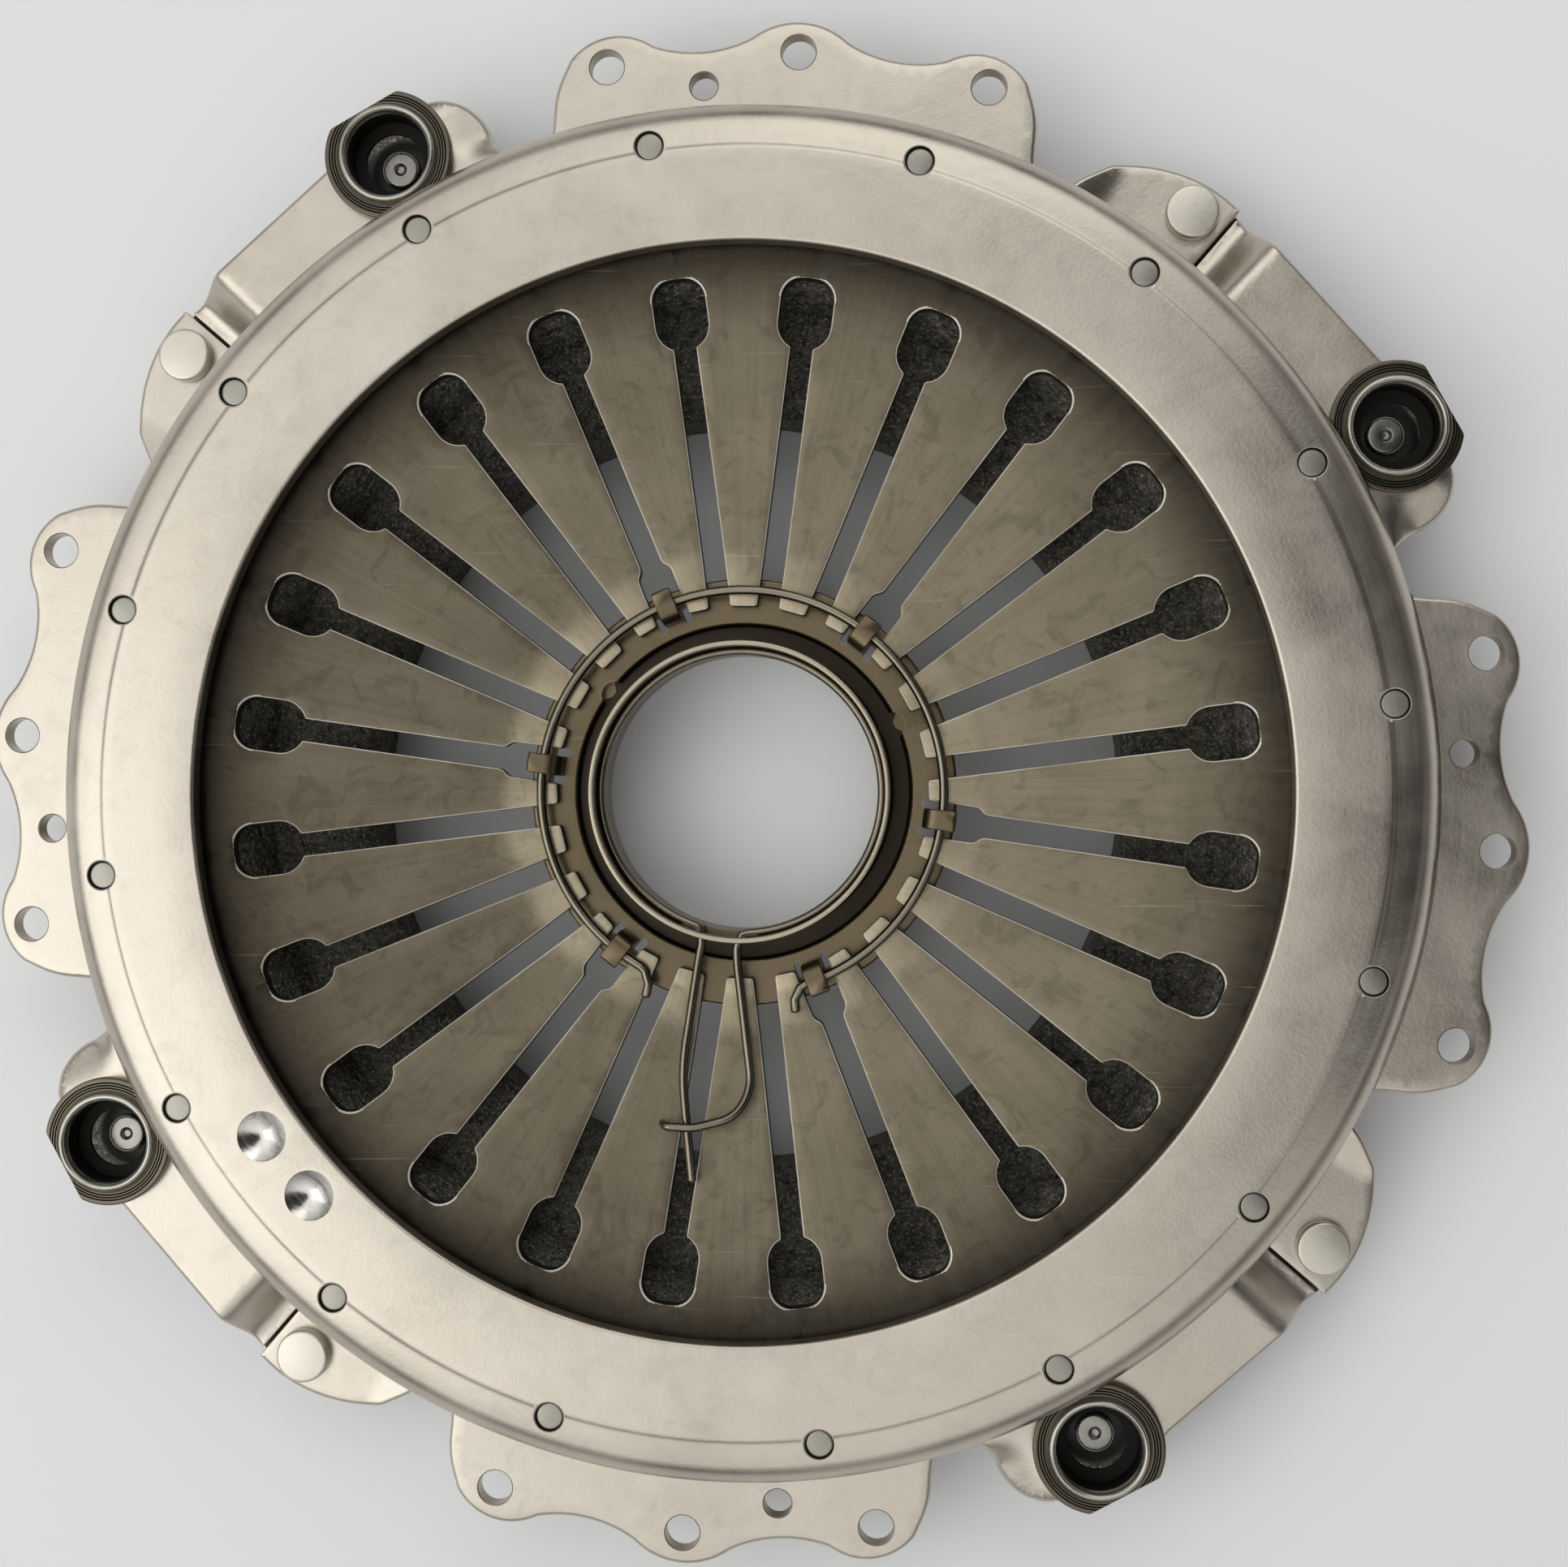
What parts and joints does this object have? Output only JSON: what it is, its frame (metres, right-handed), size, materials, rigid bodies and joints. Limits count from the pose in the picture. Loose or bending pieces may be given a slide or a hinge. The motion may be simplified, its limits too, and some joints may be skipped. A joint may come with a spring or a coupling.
{
  "type": "clutch pressure plate",
  "caption": "Pull-type diaphragm clutch cover with cast pressure plate, leaf springs, bolting tabs and hooked release ring.",
  "frame": {"origin": "on the clutch axis, in the plane of the pressure plate's friction face, on which the loose assembly stands", "axes": "+Z along the clutch axis towards the gearbox; the first bolting tab is 85.5 degrees from +X, so +Y runs close to its middle"},
  "size_m": [0.4676, 0.4676, 0.057],
  "materials": {
    "cover_steel": "satin pressed steel, lightly oiled",
    "pin_steel": "smooth hardened steel",
    "spring_steel": "shot-peened, oil-quenched spring steel",
    "leaf_steel": "rolled spring strip",
    "rivet_steel": "cold-headed steel",
    "washer_steel": "punched steel",
    "sleeve_steel": "turned steel",
    "plate_iron": "rough sand casting with a ground friction face",
    "ring_steel": "forged and bronzed steel",
    "wire_steel": "drawn spring wire"
  },
  "bodies": {
    "cover": {"cover": "cover_steel", "centring_pins": "pin_steel", "diaphragm_spring": "spring_steel", "cover_strap_rivets": "rivet_steel", "stop_sleeve_1": "sleeve_steel", "stop_sleeve_2": "sleeve_steel", "stop_sleeve_3": "sleeve_steel", "stop_sleeve_4": "sleeve_steel", "leaf_spring_1_1": "leaf_steel", "leaf_spring_1_2": "leaf_steel", "leaf_spring_1_3": "leaf_steel", "leaf_spring_2_1": "leaf_steel", "leaf_spring_2_2": "leaf_steel", "leaf_spring_2_3": "leaf_steel", "leaf_spring_3_1": "leaf_steel", "leaf_spring_3_2": "leaf_steel", "leaf_spring_3_3": "leaf_steel", "leaf_spring_4_1": "leaf_steel", "leaf_spring_4_2": "leaf_steel", "leaf_spring_4_3": "leaf_steel"},
    "pressure_plate": {"pressure_plate": "plate_iron", "plate_strap_rivets": "rivet_steel", "strap_washers": "washer_steel"},
    "release_ring": {"release_ring": "ring_steel", "retaining_wire": "wire_steel", "snap_ring": "wire_steel"}
  },
  "joints": [
    {"name": "plate_lift", "type": "slide", "parent": "cover", "child": "pressure_plate", "axis": [0, 0, 1], "range_m": [0, 0.0024], "stiffness_N_per_m": 60000, "springref_m": -0.03, "deforming": ["leaf_spring_1_1", "leaf_spring_1_2", "leaf_spring_1_3", "leaf_spring_2_1", "leaf_spring_2_2", "leaf_spring_2_3", "leaf_spring_3_1", "leaf_spring_3_2", "leaf_spring_3_3", "leaf_spring_4_1", "leaf_spring_4_2", "leaf_spring_4_3"]},
    {"name": "release_pull", "type": "slide", "parent": "cover", "child": "release_ring", "axis": [0, 0, 1], "range_m": [0, 0.012], "deforming": ["diaphragm_spring"]}
  ],
  "couplings": [
    {"joint": "release_pull", "follows": "plate_lift", "ratio": 4.92}
  ]
}
